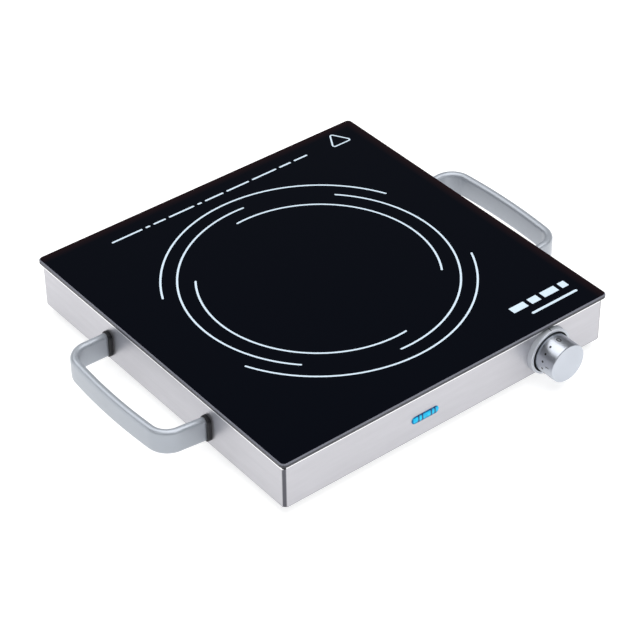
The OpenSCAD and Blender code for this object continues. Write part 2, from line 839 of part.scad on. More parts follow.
module gland_seal() {
    color("#101012") place() translate([-gland_x, 0, gland_z]) difference() {
        y_rod(gland_bore_r, face - 4, face + gland_flange_t + 4);
        y_rod(cord_r, face - 5, face + gland_out);
    }
}

module gland_cap() {
    color("#1d1d20") place() translate([-gland_x, 0, gland_z]) difference() {
        y_rod(gland_cap_r, face + gland_flange_t, face + gland_out);
        y_rod(gland_thread_r + 0.05, face + gland_flange_t - 1, face + gland_flange_t + 4);
        y_rod(gland_bore_r, face, face + gland_out - 1.6);
        y_rod(cord_r + 0.6, face, face + gland_out + 1);
    }
}

module gland_nut() {
    color("#1d1d20") place() translate([-gland_x, wall_in, gland_z]) rotate([90, 0, 0])
        hex_nut(21, 5, gland_thread_r + eps);
}

module terminal_block() {
    color("#efeae0") place() translate([block_x, block_y, foot_h]) difference() {
        translate([-block_w / 2, -block_d / 2, 0]) cube([block_w, block_d, block_h]);
        for (k = [-1, 0, 1]) translate([k * block_pitch, 0, 0]) {
            y_rod_at(2.6, -block_d / 2 - 1, block_d / 2 + 1, block_h / 2);
            for (s = [-1, 1]) translate([0, s * 4, block_h / 2]) cylinder(r = 1.6, h = block_h);
        }
    }
}

module y_rod_at(r, y0, y1, z) {
    translate([0, 0, z]) y_rod(r, y0, y1);
}

module terminal_screws() {
    color("#b9bdc0") place() translate([block_x, block_y, foot_h])
        for (k = [-1, 0, 1], s = [-1, 1]) translate([k * block_pitch, s * 4, block_h - 4])
            cylinder(r = 1.55, h = 3.4);
}

module earth_stud() {
    color("#c9b26a") place() translate([earth_x, earth_y, base_z])
        screw_up(m4_head_r, 2, m4_r, base_t + 8);
}

module earth_nut() {
    color("#c9b26a") place() translate([earth_x, earth_y, foot_h]) hex_nut(7, 3.2, m4_r + eps);
}

module wire_live() { color("#7a4326") place() wire(live_path, wire_r); }
module wire_neutral() { color("#2a62b8") place() wire(neutral_path, wire_r); }
module wire_heater() { color("#d8d4c8") place() wire(heater_path, wire_r); }
module wire_earth() { color("#7ba33a") place() wire(earth_path, wire_r); }

glass_top();
glass_seal();
body_shell();
base_plate();
base_screws();
foot_front_left();
foot_front_right();
foot_rear_left();
foot_rear_right();
foot_screws();
foot_nuts();
handle_left();
handle_right();
boot_left_front();
boot_left_rear();
boot_right_front();
boot_right_rear();
handle_screws();
handle_washers();
heater_dish();
heater_insulation();
heater_wall_ring();
heating_element();
element_leads();
element_terminals();
limiter_rod();
limiter_head();
heater_springs();
heat_shield();
regulator_bracket();
regulator_case();
regulator_cover();
regulator_tabs();
contact_blade();
regulator_shaft();
regulator_cam();
bracket_screws();
knob_bezel();
knob_seal();
knob_skin();
knob_core();
knob_clip();
pilot_lens();
pilot_holder();
pilot_lamp();
gland_body();
gland_seal();
gland_cap();
gland_nut();
terminal_block();
terminal_screws();
earth_stud();
earth_nut();
wire_live();
wire_neutral();
wire_heater();
wire_earth();
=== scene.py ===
"""The tabletop cooktop's looks: materials, printed marks, smooth handles and lens, stage, lights, camera."""

import json
import math

import bpy
from mathutils import Matrix, Vector


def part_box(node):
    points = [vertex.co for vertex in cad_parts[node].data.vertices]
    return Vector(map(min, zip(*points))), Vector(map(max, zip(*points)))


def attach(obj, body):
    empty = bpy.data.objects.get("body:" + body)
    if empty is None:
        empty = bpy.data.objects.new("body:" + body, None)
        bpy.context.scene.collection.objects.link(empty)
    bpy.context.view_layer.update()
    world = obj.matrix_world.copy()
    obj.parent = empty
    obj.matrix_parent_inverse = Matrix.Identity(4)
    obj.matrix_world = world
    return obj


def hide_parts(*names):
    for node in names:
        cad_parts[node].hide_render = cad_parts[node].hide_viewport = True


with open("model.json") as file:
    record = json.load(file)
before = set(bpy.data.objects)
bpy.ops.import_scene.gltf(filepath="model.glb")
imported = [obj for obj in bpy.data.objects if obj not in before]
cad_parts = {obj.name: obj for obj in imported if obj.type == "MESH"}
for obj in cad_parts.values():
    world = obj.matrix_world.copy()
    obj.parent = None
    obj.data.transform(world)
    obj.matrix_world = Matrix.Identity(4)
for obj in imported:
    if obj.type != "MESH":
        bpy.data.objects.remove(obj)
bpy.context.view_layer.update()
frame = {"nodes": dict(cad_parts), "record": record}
nodes = frame["nodes"]
record = frame["record"]

MM = 0.001

# ---------------------------------------------------------------- places taken from the frame

glass_lo, glass_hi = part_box("glass_top")
shell_lo, shell_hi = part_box("body_shell")
skin_lo, skin_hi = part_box("knob_skin")
bezel_lo, bezel_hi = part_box("knob_bezel")
lens_lo, lens_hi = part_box("pilot_lens")
GLASS_Z = glass_hi.z
GLASS_C = (glass_lo + glass_hi) / 2
FRONT = shell_lo.y
KNOB_R = (skin_hi.x - skin_lo.x) / 2
KNOB_C = Vector(((skin_lo.x + skin_hi.x) / 2, FRONT, (skin_lo.z + skin_hi.z) / 2))


# ---------------------------------------------------------------- node helpers


class Shader:
    """A material with its Principled node and short ways to add procedural detail to it."""

    def __init__(self, name, color, rough, metal=0.0, **fixed):
        self.mat = bpy.data.materials.new(name)
        self.mat.use_nodes = True
        self.tree = self.mat.node_tree
        self.bsdf = self.tree.nodes["Principled BSDF"]
        self.bsdf.inputs["Base Color"].default_value = (*color, 1)
        self.bsdf.inputs["Roughness"].default_value = rough
        self.bsdf.inputs["Metallic"].default_value = metal
        for socket, value in fixed.items():
            self.bsdf.inputs[socket.replace("_", " ")].default_value = value
        self.color = color
        self.rough = rough
        self.color_out = None
        coords = self.tree.nodes.new("ShaderNodeTexCoord")
        self.object_coords = coords.outputs["Object"]

    def add(self, kind, **values):
        node = self.tree.nodes.new("ShaderNode" + kind)
        for key, value in values.items():
            setattr(node, key, value)
        return node

    def link(self, out, socket):
        self.tree.links.new(out, socket)

    def noise(self, scale, detail=3.0):
        """Noise over the object's own coordinates; scale is cells per metre along x, y and z."""
        mapping = self.add("Mapping")
        mapping.inputs["Scale"].default_value = scale
        self.link(self.object_coords, mapping.inputs["Vector"])
        noise = self.add("TexNoise")
        noise.inputs["Scale"].default_value = 1.0
        noise.inputs["Detail"].default_value = detail
        self.link(mapping.outputs["Vector"], noise.inputs["Vector"])
        return noise.outputs["Fac"]

    def spread(self, fac, low, high, begin=0.3, end=0.7):
        """fac from begin to end becomes low to high."""
        ranged = self.add("MapRange", clamp=True)
        for socket, value in (("From Min", begin), ("From Max", end), ("To Min", low), ("To Max", high)):
            ranged.inputs[socket].default_value = value
        self.link(fac, ranged.inputs["Value"])
        return ranged.outputs["Result"]

    def tint(self, fac, other, amount=1.0):
        """Mixes the colour so far towards another where fac is high."""
        mix = self.add("Mix", data_type="RGBA")
        if self.color_out is None:
            mix.inputs["A"].default_value = (*self.color, 1)
        else:
            self.link(self.color_out, mix.inputs["A"])
        mix.inputs["B"].default_value = (*other, 1)
        self.link(self.spread(fac, 0.0, amount, 0.0, 1.0), mix.inputs["Factor"])
        self.color_out = mix.outputs["Result"]
        self.link(self.color_out, self.bsdf.inputs["Base Color"])
        return self

    def vary(self, scale, amount, detail=3.0):
        """Lightens and darkens the colour in patches."""
        fac = self.spread(self.noise(scale, detail), 0.0, 1.0)
        return self.tint(fac, tuple(c * (1 - amount) for c in self.color))

    def rough_vary(self, scale, amount, detail=3.0):
        """Makes the surface rougher and smoother in patches."""
        fac = self.noise(scale, detail)
        self.link(self.spread(fac, self.rough - amount, self.rough + amount), self.bsdf.inputs["Roughness"])
        return self

    def bump(self, scale, height, detail=3.0):
        """Relief of that height in metres."""
        bump = self.add("Bump")
        bump.inputs["Strength"].default_value = 1.0
        bump.inputs["Distance"].default_value = height
        self.link(self.noise(scale, detail), bump.inputs["Height"])
        self.link(bump.outputs["Normal"], self.bsdf.inputs["Normal"])
        return self

    def axis(self, name):
        """One coordinate of the object space, in metres."""
        split = self.add("SeparateXYZ")
        self.link(self.object_coords, split.inputs["Vector"])
        return split.outputs[name]

    def math(self, operation, a, b=None):
        """A Math node on sockets or numbers."""
        node = self.add("Math", operation=operation)
        for i, value in enumerate((a, b)):
            if value is None:
                continue
            if isinstance(value, (int, float)):
                node.inputs[i].default_value = value
            else:
                self.link(value, node.inputs[i])
        return node.outputs["Value"]

    def tangent(self, axis):
        """Brushing that runs round an axis of the piece."""
        node = self.add("Tangent", direction_type="RADIAL", axis=axis)
        self.link(node.outputs["Tangent"], self.bsdf.inputs["Tangent"])
        return self


def even(v):
    """The same scale along x, y and z."""
    return (v, v, v)


# ---------------------------------------------------------------- materials, by the record's slots


def glass_material():
    """Polished black glass-ceramic: nearly black, with a warm cast towards the rear and right edges."""
    s = Shader("black_glass", (0.0005, 0.0011, 0.0036), 0.06, IOR=1.5, Specular_IOR_Level=0.19)
    s.rough_vary(even(40), 0.02)
    x = s.math("SUBTRACT", s.axis("X"), GLASS_C.x)
    y = s.math("SUBTRACT", s.axis("Y"), GLASS_C.y)
    half = (glass_hi.x - glass_lo.x) / 2
    reach = s.math("MAXIMUM", x, y)
    s.tint(s.spread(reach, 0.0, 1.0, half - 9 * MM, half - 1 * MM), (0.0105, 0.0040, 0.0052))
    return s


def edge_glass_material():
    """The ground bevels and sides of the plate."""
    s = Shader("ground_glass_edge", (0.030, 0.031, 0.040), 0.42, IOR=1.5)
    z = s.axis("Z")
    lip = s.spread(z, 0.0, 1.0, GLASS_Z - 1.1 * MM, GLASS_Z - 0.8 * MM)
    s.tint(lip, (0.16, 0.165, 0.20))
    s.rough_vary(even(900), 0.06)
    return s


def steel_material():
    """Fine brushed sheet: darker folded corners, a painted highlight along the bent top edge under the glass,
    and a darker lower edge.
    """
    s = Shader("brushed_stainless", (0.525, 0.520, 0.550), 0.38, 1.0)
    s.vary((30, 30, 220), 0.05, 4)
    s.rough_vary((24, 24, 2600), 0.05, 2)
    half = (shell_hi.x - shell_lo.x) / 2
    x = s.math("ABSOLUTE", s.axis("X"))
    y = s.math("ABSOLUTE", s.math("SUBTRACT", s.axis("Y"), (shell_lo.y + shell_hi.y) / 2))
    corner = s.math("ADD", x, y)
    s.tint(s.spread(corner, 0.0, 1.0, 2 * half - 2.5 * MM, 2 * half - 2.0 * MM), (0.10, 0.10, 0.115))
    z = s.axis("Z")
    side = s.spread(x, 0.0, 1.0 * MM, half - 1.2 * MM, half - 0.3 * MM)
    # Painted highlight: the bent top edge just under the glass is lightened to a near-white line; on the side
    # walls the line sits a little lower.
    painted_bend_highlight = s.spread(s.math("ADD", z, side), 0.0, 1.0, shell_hi.z - 1.8 * MM, shell_hi.z - 1.3 * MM)
    s.tint(painted_bend_highlight, (0.95, 0.95, 0.96))
    hem = s.spread(z, 1.0, 0.0, shell_lo.z + 0.9 * MM, shell_lo.z + 1.8 * MM)
    s.tint(hem, (0.30, 0.30, 0.33))
    s.bump((30, 30, 2600), 0.004 * MM, 2)
    return s


def simple_materials():
    """The plainer slots, each with its own grain."""
    made = {}
    made["silicone"] = Shader("black_silicone", (0.02, 0.02, 0.022), 0.5).rough_vary(even(300), 0.1)
    made["galvanised"] = Shader("galvanised_sheet", (0.50, 0.52, 0.53), 0.38, 1.0)
    made["galvanised"].vary(even(240), 0.10, 1).rough_vary(even(240), 0.06, 1)
    made["zinc_screw"] = Shader("bright_zinc", (0.52, 0.53, 0.54), 0.3, 1.0).rough_vary(even(700), 0.08)
    made["foot_rubber"] = Shader("foot_rubber", (0.022, 0.022, 0.024), 0.75)
    made["foot_rubber"].vary(even(400), 0.3).bump(even(2500), 0.02 * MM)
    made["handle_silver"] = Shader("silver_paint", (0.40, 0.43, 0.475), 0.36, 0.4, Coat_Weight=0.25)
    made["handle_silver"].bsdf.inputs["Coat Roughness"].default_value = 0.3
    made["handle_silver"].vary(even(60), 0.03).bump(even(1800), 0.006 * MM)
    made["boot_black"] = Shader("boot_plastic", (0.011, 0.011, 0.014), 0.45, Specular_IOR_Level=0.35)
    made["boot_black"].rough_vary(even(500), 0.06).bump(even(2200), 0.012 * MM)
    made["insulation"] = Shader("mineral_board", (0.76, 0.73, 0.66), 0.95)
    made["insulation"].vary(even(260), 0.12).bump(even(900), 0.15 * MM)
    made["element_alloy"] = Shader("oxidised_ribbon", (0.20, 0.17, 0.15), 0.55, 1.0).vary(even(300), 0.3)
    made["steatite"] = Shader("steatite", (0.80, 0.77, 0.70), 0.55).vary(even(160), 0.06)
    made["quartz"] = Shader("quartz", (0.85, 0.87, 0.88), 0.08, IOR=1.46).rough_vary(even(200), 0.03)
    made["spring_steel"] = Shader("spring_steel", (0.42, 0.43, 0.44), 0.32, 1.0).rough_vary(even(600), 0.08)
    made["bakelite"] = Shader("phenolic", (0.05, 0.032, 0.024), 0.35).vary(even(240), 0.2)
    made["brass"] = Shader("brass", (0.72, 0.53, 0.25), 0.28, 1.0).rough_vary(even(500), 0.08)
    made["copper_alloy"] = Shader("copper_alloy", (0.66, 0.38, 0.20), 0.3, 1.0).rough_vary(even(500), 0.08)
    made["shaft_zinc"] = Shader("turned_shaft", (0.45, 0.45, 0.43), 0.3, 1.0)
    made["shaft_zinc"].rough_vary((200, 2000, 200), 0.1)
    made["white_plastic"] = Shader("white_plastic", (0.78, 0.77, 0.72), 0.5).rough_vary(even(300), 0.06)
    made["liner_rubber"] = Shader("liner_rubber", (0.010, 0.010, 0.012), 0.7).bump(even(2500), 0.01 * MM)
    made["black_plastic"] = Shader("black_plastic", (0.018, 0.018, 0.02), 0.42)
    made["black_plastic"].rough_vary(even(500), 0.05).bump(even(3000), 0.01 * MM)
    made["lamp_glass"] = Shader("lamp_glass", (0.9, 0.6, 0.4), 0.1, IOR=1.5).rough_vary(even(200), 0.03)
    made["print_pale"] = Shader("fired_print", (0.62, 0.74, 0.84), 0.5).vary(even(900), 0.06)
    made["print_black"] = Shader("black_print", (0.014, 0.014, 0.017), 0.5).rough_vary(even(900), 0.05)
    made["wire_brown"] = Shader("brown_wire", (0.20, 0.09, 0.04), 0.45).rough_vary(even(400), 0.05)
    made["wire_blue"] = Shader("blue_wire", (0.03, 0.13, 0.45), 0.45).rough_vary(even(400), 0.05)
    made["wire_white"] = Shader("silk_sleeve", (0.70, 0.68, 0.60), 0.8).vary(even(1500), 0.2)
    made["wire_green"] = Shader("green_yellow_wire", (0.22, 0.38, 0.06), 0.45).vary((60, 600, 60), 0.4)
    return made


def turned_material(name, color, rough, metal):
    """Lathe-turned satin aluminium: brushing that runs round the knob's axis."""
    s = Shader(name, color, rough, metal, Anisotropic=0.6)
    s.tangent("Y")
    s.vary((60, 1400, 60), 0.05, 2)
    return s


LENS_STRIPES = (-6.5 * MM, -3.2 * MM, 4.6 * MM, 7.9 * MM)


def lens_material():
    """Glossy translucent blue with the lamp's electrodes showing through as four dark upright stripes."""
    s = Shader("blue_lens", (0.0, 0.38, 0.68), 0.14, IOR=1.49, Specular_IOR_Level=0.25)
    mid = (lens_lo + lens_hi) / 2
    x = s.math("SUBTRACT", s.axis("X"), mid.x)
    z = s.math("SUBTRACT", s.axis("Z"), mid.z)
    half = (lens_hi.x - lens_lo.x) / 2
    # Painted highlight: lighter cyan in random patches.
    s.tint(s.spread(s.noise((500, 500, 300), 2), 0.0, 0.8), (0.0, 0.66, 0.95))
    # Painted shade over the lower part and at the left end; a darker band also runs along the top and bottom
    # rims.
    s.tint(s.spread(z, 1.0, 0.0, -1.6 * MM, -0.4 * MM), (0.0, 0.16, 0.30), 0.8)
    s.tint(s.spread(s.math("ABSOLUTE", z), 0.0, 1.0, 2.1 * MM, 3.0 * MM), (0.0, 0.08, 0.24))
    s.tint(s.spread(x, 1.0, 0.0, -half, 1.6 * MM - half), (0.0, 0.08, 0.30))
    for at in LENS_STRIPES:
        off = s.math("ABSOLUTE", s.math("SUBTRACT", x, at))
        s.tint(s.spread(off, 1.0, 0.0, 0.35 * MM, 0.9 * MM), (0.010, 0.020, 0.09), 0.9)
    s.link(s.color_out, s.bsdf.inputs["Emission Color"])
    s.bsdf.inputs["Emission Strength"].default_value = 0.18
    return s


shaders = simple_materials()
shaders["glass"] = glass_material()
shaders["stainless"] = steel_material()
shaders["bezel_aluminium"] = turned_material("turned_bezel", (0.62, 0.65, 0.70), 0.45, 0.4)
shaders["knob_aluminium"] = turned_material("turned_knob", (0.525, 0.555, 0.61), 0.30, 1.0)
shaders["lens_blue"] = lens_material()
edge_glass = edge_glass_material().mat

for part in record["subparts"]:
    node = nodes[part["node"]]
    node.data.materials.clear()
    node.data.materials.append(shaders[part["material_slot"]].mat)
    for polygon in node.data.polygons:
        polygon.material_index = 0

# The plate's two flat faces keep the black glass, and its bevels and sides take the ground edge
FLAT_NORMAL_Z = 0.99
nodes["glass_top"].data.materials.append(edge_glass)
for polygon in nodes["glass_top"].data.polygons:
    polygon.material_index = 0 if abs(polygon.normal.z) > FLAT_NORMAL_Z else 1


# ---------------------------------------------------------------- piece helpers


def make_piece(name, verts, faces, body, slot, smooth=False):
    """A mesh piece from points and faces, riding on a CAD body, with a slot's material."""
    mesh = bpy.data.meshes.new(name)
    mesh.from_pydata([tuple(v) for v in verts], [], faces)
    mesh.validate()
    mesh.update()
    obj = bpy.data.objects.new(name, mesh)
    bpy.context.scene.collection.objects.link(obj)
    mesh.materials.append(shaders[slot].mat)
    if smooth:
        mesh.shade_smooth()
    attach(obj, body)
    return obj


PRINT_T = 0.05 * MM
PRINT_GAP = 0.01 * MM


def decal(name, strips, place, body, slot):
    """Thin solid prints. A strip is its pairs of left and right points, and whether it is closed.

    place turns u, v and a height above the surface into a point.
    """
    top = PRINT_GAP + PRINT_T
    verts, faces = [], []
    for pairs, closed in strips:
        base = len(verts)
        count = len(pairs)
        for left, right in pairs:
            for (u, v), h in ((left, top), (right, top), (right, PRINT_GAP), (left, PRINT_GAP)):
                verts.append(place(u, v, h))
        steps = count if closed else count - 1
        for i in range(steps):
            a = base + 4 * i
            b = base + 4 * ((i + 1) % count)
            for k in range(4):
                m = (k + 1) % 4
                faces.append((a + k, b + k, b + m, a + m))
        if not closed:
            end = base + 4 * (count - 1)
            faces.append((base, base + 1, base + 2, base + 3))
            faces.append((end + 3, end + 2, end + 1, end))
    return make_piece(name, verts, faces, body, slot)


def stroke(points, width, closed=False, round_ends=True):
    """A stroke along points, as a strip for decal."""
    pts = [Vector(p) for p in points]
    pairs = []
    count = len(pts)
    for i, p in enumerate(pts):
        if closed:
            t = pts[(i + 1) % count] - pts[i - 1]
        else:
            t = pts[min(i + 1, count - 1)] - pts[max(i - 1, 0)]
        t.normalize()
        side = Vector((-t.y, t.x)) * width / 2
        pairs.append((tuple(p + side), tuple(p - side)))
    if round_ends and not closed:
        start = [(left, right) for right, left in cap(pts[1], pts[0], width)]
        pairs = start[::-1] + pairs[1:-1] + cap(pts[-2], pts[-1], width)
    return pairs, closed


CAP_STEPS = 6
CAP_TURN = 88


def cap(before, end, width):
    """A half-round end, from the middle of the stroke outwards; it stops just short of a point."""
    t = (end - before).normalized()
    side = Vector((-t.y, t.x))
    made = []
    for k in range(CAP_STEPS + 1):
        a = math.radians(CAP_TURN * k / CAP_STEPS)
        at = end - t * width / 2 + t * math.sin(a) * width / 2
        reach = side * math.cos(a) * width / 2
        made.append((tuple(at + reach), tuple(at - reach)))
    return made


def arc_points(r, start, end, steps):
    """Points on a circle round the origin, from one angle to another in degrees."""
    return [
        (r * math.cos(math.radians(start + (end - start) * i / steps)),
         r * math.sin(math.radians(start + (end - start) * i / steps)))
        for i in range(steps + 1)
    ]


def disc(u, v, r, steps=8):
    """A small filled disc as one strip."""
    pairs = []
    for k in range(steps + 1):
        a = math.radians(-CAP_TURN + 2 * CAP_TURN * k / steps)
        du, dv = r * math.sin(a), r * math.cos(a)
        pairs.append(((u + du, v + dv), (u + du, v - dv)))
    return pairs, False


# ---------------------------------------------------------------- prints on the glass


def on_glass(u, v, h):
    """u is right and v is back, from the plate's middle."""
    return (GLASS_C.x + u, GLASS_C.y + v, GLASS_Z + h)


def level_bar(begin, end, v, width, round_ends=True):
    """A straight stroke at one distance back, from one u to another."""
    return stroke([(begin, v), ((begin + end) / 2, v), (end, v)], width, round_ends=round_ends)


# Ring name, radius, start angles of its arcs in degrees, and how far each arc sweeps
RING_LINE = 1.5 * MM
RING_STEPS = 72
RINGS = (
    ("outer", 113.1 * MM, (25, 205), 130),
    ("middle", 101.2 * MM, (-95, 85), 140),
    ("inner", 88.1 * MM, (-35, 145), 130),
)
for ring_name, ring_r, starts, sweep in RINGS:
    arcs = [stroke(arc_points(ring_r, s, s + sweep, RING_STEPS), RING_LINE) for s in starts]
    decal("ring_" + ring_name, arcs, on_glass, "root", "print_pale")

# Plain bars stand where the real plate carries words, and an empty triangle where it carries a sign
REAR_BARS_U = -94 * MM
REAR_BARS_V = 126 * MM
REAR_BAR_LINE = 1.6 * MM
REAR_BAR_MARGIN = 1.5 * MM
REAR_BAR_LENGTHS = (30, 7, 14, 26, 7, 20, 24, 26, 14, 16)
rear_row = []
bar_at = REAR_BARS_U
for length in REAR_BAR_LENGTHS:
    next_at = bar_at + length * MM
    bar = level_bar(bar_at + REAR_BAR_MARGIN, next_at - REAR_BAR_MARGIN, REAR_BARS_V, REAR_BAR_LINE)
    rear_row.append(bar)
    bar_at = next_at
decal("rear_bars", rear_row, on_glass, "root", "print_pale")

FRONT_BLOCKS = ((78.5 * MM, 92 * MM), (95.5 * MM, 104 * MM), (107.5 * MM, 121 * MM), (124.5 * MM, 130.5 * MM))
FRONT_BLOCKS_V = -117.3 * MM
FRONT_BLOCKS_H = 6.4 * MM
UNDERLINE = (88 * MM, 131 * MM)
UNDERLINE_V = -128.2 * MM
UNDERLINE_H = 2.2 * MM
front_row = [level_bar(*block, FRONT_BLOCKS_V, FRONT_BLOCKS_H, round_ends=False) for block in FRONT_BLOCKS]
front_row.append(level_bar(*UNDERLINE, UNDERLINE_V, UNDERLINE_H))
decal("front_bars", front_row, on_glass, "root", "print_pale")

TRIANGLE_C = (119.5 * MM, 126.6 * MM)
TRIANGLE_OUT = 7.3 * MM
TRIANGLE_R = 1.6 * MM
TRIANGLE_LINE = 1.2 * MM
TRIANGLE_CORNERS = (90, 210, 330)
CORNER_TURN = 120
TURN_STEPS = 6
triangle = []
for corner_a in TRIANGLE_CORNERS:
    cu = TRIANGLE_C[0] + TRIANGLE_OUT * math.cos(math.radians(corner_a))
    cv = TRIANGLE_C[1] + TRIANGLE_OUT * math.sin(math.radians(corner_a))
    for step in range(TURN_STEPS + 1):
        turn = math.radians(corner_a + CORNER_TURN * (step / TURN_STEPS - 0.5))
        triangle.append((cu + TRIANGLE_R * math.cos(turn), cv + TRIANGLE_R * math.sin(turn)))
decal("rear_triangle", [stroke(triangle, TRIANGLE_LINE, closed=True)], on_glass, "root", "print_pale")


# ---------------------------------------------------------------- knob marks

# Angles are in degrees from the knob's off mark, the way the dots run
DOT_COUNT = 11
DOT_PITCH = 23.0
DOT_FIRST = 32.4
DOT_OUT = 11.5 * MM
DOT_R = 0.9 * MM
ZERO_C = (0.3 * MM, DOT_OUT)
ZERO_HALF_W = 1.2 * MM
ZERO_HALF_H = 1.8 * MM
ZERO_LINE = 0.8 * MM
ZERO_STEP = 15


def on_knob(u, v, h):
    """u is the arc's length from the top, counter-clockwise from the front; v is out from the body."""
    a = u / KNOB_R
    r = KNOB_R + h
    return (KNOB_C.x - r * math.sin(a), KNOB_C.y - v, KNOB_C.z + r * math.cos(a))


def knob_u(degrees):
    """The arc's length at an angle on the knob."""
    return math.radians(degrees) * KNOB_R


dots = [disc(knob_u(DOT_FIRST + i * DOT_PITCH), DOT_OUT, DOT_R) for i in range(DOT_COUNT)]
decal("knob_dots", dots, on_knob, "control_knob", "print_black")
zero = [
    (ZERO_C[0] + ZERO_HALF_W * math.cos(math.radians(a)), ZERO_C[1] + ZERO_HALF_H * math.sin(math.radians(a)))
    for a in range(0, 360, ZERO_STEP)
]
decal("knob_zero", [stroke(zero, ZERO_LINE, closed=True)], on_knob, "control_knob", "print_black")

# The heat numbers 1 to 4 as strokes, in mm, read from the front with their tops towards the body
DIGITS = (
    (((-0.7, 1.0), (0.1, 1.7), (0.1, 0.2), (0.1, -1.7)),),
    (((-1.0, 0.9), (-0.6, 1.5), (0.0, 1.7), (0.7, 1.4), (0.9, 0.7), (0.5, 0.0), (-1.0, -1.6)),
     ((-1.0, -1.6), (0.0, -1.6), (1.1, -1.6))),
    (((-0.9, 1.45), (-0.1, 1.7), (0.7, 1.35), (0.8, 0.6), (0.1, 0.1), (-0.3, 0.1)),
     ((0.1, 0.1), (0.9, -0.4), (0.9, -1.2), (0.0, -1.7), (-1.0, -1.4))),
    (((0.5, -1.7), (0.5, 0.0), (0.5, 1.7)),
     ((0.5, 1.7), (-0.3, 0.6), (-1.1, -0.5)),
     ((-1.1, -0.5), (0.0, -0.5), (1.2, -0.5))),
)
DIGIT_FIRST = 88.0
DIGIT_PITCH = 46.0
DIGIT_OUT = 16.6 * MM
DIGIT_LINE = 0.55 * MM
numbers = []
for order, digit in enumerate(DIGITS):
    middle = knob_u(DIGIT_FIRST + order * DIGIT_PITCH)
    for line in digit:
        numbers.append(stroke([(middle - gx * MM, DIGIT_OUT - gy * MM) for gx, gy in line], DIGIT_LINE))
decal("knob_numbers", numbers, on_knob, "control_knob", "print_black")

BEZEL_TAPER = 0.3 * MM
INDEX_LINE = 0.6 * MM
INDEX_OUT = (0.5 * MM, 2.1 * MM, 3.8 * MM)


def on_bezel(u, v, h):
    """The same as on_knob, on the bezel's slight cone."""
    depth = bezel_hi.y - bezel_lo.y
    r = (bezel_hi.x - bezel_lo.x) / 2 - BEZEL_TAPER * v / depth + h
    a = u / r
    return (KNOB_C.x - r * math.sin(a), KNOB_C.y - v, KNOB_C.z + r * math.cos(a))


index = stroke([(0, v) for v in INDEX_OUT], INDEX_LINE)
decal("bezel_index", [index], on_bezel, "root", "print_black")


# ---------------------------------------------------------------- carry handles

# The bar's own dimensions; how far it stands out and how high it sits come from the CAD handle
HANDLE_T = 6.3 * MM
HANDLE_EDGE_R = 3.0 * MM
HANDLE_HALF = 58.9 * MM
HANDLE_CORNER_R = 15.0 * MM
HANDLE_BOW = 2.0 * MM
HANDLE_H = 19.6 * MM
LEG_SPLAY = 1.1 * MM
LEG_DROP = 1.4 * MM
LEG_STEPS = 4
SECTION_STEPS = 8
CORNER_STEPS = 28
BOW_STEPS = 30


def handle_section():
    """Points round the bar: distance along the outward normal, height."""
    flat_n = HANDLE_T / 2 - HANDLE_EDGE_R
    flat_z = HANDLE_H / 2 - HANDLE_EDGE_R
    made = []
    for q in range(4):
        sn = 1 if q in (0, 3) else -1
        sz = 1 if q in (0, 1) else -1
        for i in range(SECTION_STEPS + 1):
            a = math.radians(q * 90 + i * 90 / SECTION_STEPS)
            n = sn * flat_n + HANDLE_EDGE_R * math.cos(a)
            made.append((n, sz * flat_z + HANDLE_EDGE_R * math.sin(a)))
    return made


def handle_spots(reach):
    """The bar's middle line from one leg to the other.

    A spot is the distance out from the body, y, the direction of the outward normal, and the height.
    """
    half = HANDLE_HALF - HANDLE_CORNER_R
    bow_r = (half * half + HANDLE_BOW * HANDLE_BOW) / (2 * HANDLE_BOW)
    bow_a = math.asin(half / bow_r)
    bow_cx = reach + HANDLE_BOW - bow_r
    corner_cx = bow_cx + (bow_r - HANDLE_CORNER_R) * math.cos(bow_a)
    corner_cy = (bow_r - HANDLE_CORNER_R) * math.sin(bow_a)
    leg_y = corner_cy + HANDLE_CORNER_R
    spots = []
    for i in range(LEG_STEPS):
        left = 1 - i / LEG_STEPS
        spots.append((corner_cx * i / LEG_STEPS, leg_y + LEG_SPLAY * left, math.pi / 2, -LEG_DROP * left))
    for i in range(CORNER_STEPS + 1):
        a = math.pi / 2 + (bow_a - math.pi / 2) * i / CORNER_STEPS
        x = corner_cx + HANDLE_CORNER_R * math.cos(a)
        y = corner_cy + HANDLE_CORNER_R * math.sin(a)
        spots.append((x, y, a, 0.0))
    for i in range(1, BOW_STEPS // 2 + 1):
        a = bow_a - 2 * bow_a * i / BOW_STEPS
        spots.append((bow_cx + bow_r * math.cos(a), bow_r * math.sin(a), a, 0.0))
    return spots + [(x, -y, -a, z) for x, y, a, z in spots[-2::-1]]


def make_handle(node_name, side):
    """A smooth bar in the CAD handle's place; side is 1 on the right and -1 on the left."""
    lo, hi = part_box(node_name)
    mid_z = hi.z - HANDLE_H / 2
    face = abs(lo.x) if side > 0 else abs(hi.x)
    outer = abs(hi.x) if side > 0 else abs(lo.x)
    mid_y = (lo.y + hi.y) / 2
    section = handle_section()
    count = len(section)
    verts = []
    spots = handle_spots(outer - face - HANDLE_T / 2 - HANDLE_BOW)
    for x, y, a, rise in spots:
        for n, z in section:
            out = face + x + n * math.cos(a)
            verts.append((side * out, mid_y + y + n * math.sin(a), mid_z + rise + z))
    faces = []
    for k in range(len(spots) - 1):
        for j in range(count):
            a, b = k * count + j, k * count + (j + 1) % count
            faces.append((a, b, b + count, a + count) if side > 0 else (a, a + count, b + count, b))
    faces.append(tuple(range(count)))
    last = (len(spots) - 1) * count
    faces.append(tuple(last + j for j in reversed(range(count))))
    piece = make_piece("smooth_" + node_name, verts, faces, "root", "handle_silver", smooth=True)
    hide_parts(node_name)


make_handle("handle_left", -1)
make_handle("handle_right", 1)


# ---------------------------------------------------------------- pilot lens

SOCKET_INSET = 0.8 * MM
DOME_BASE = 0.1 * MM
DOME_SHARE = 0.86
DOME_STEPS = 12
END_STEPS = 20


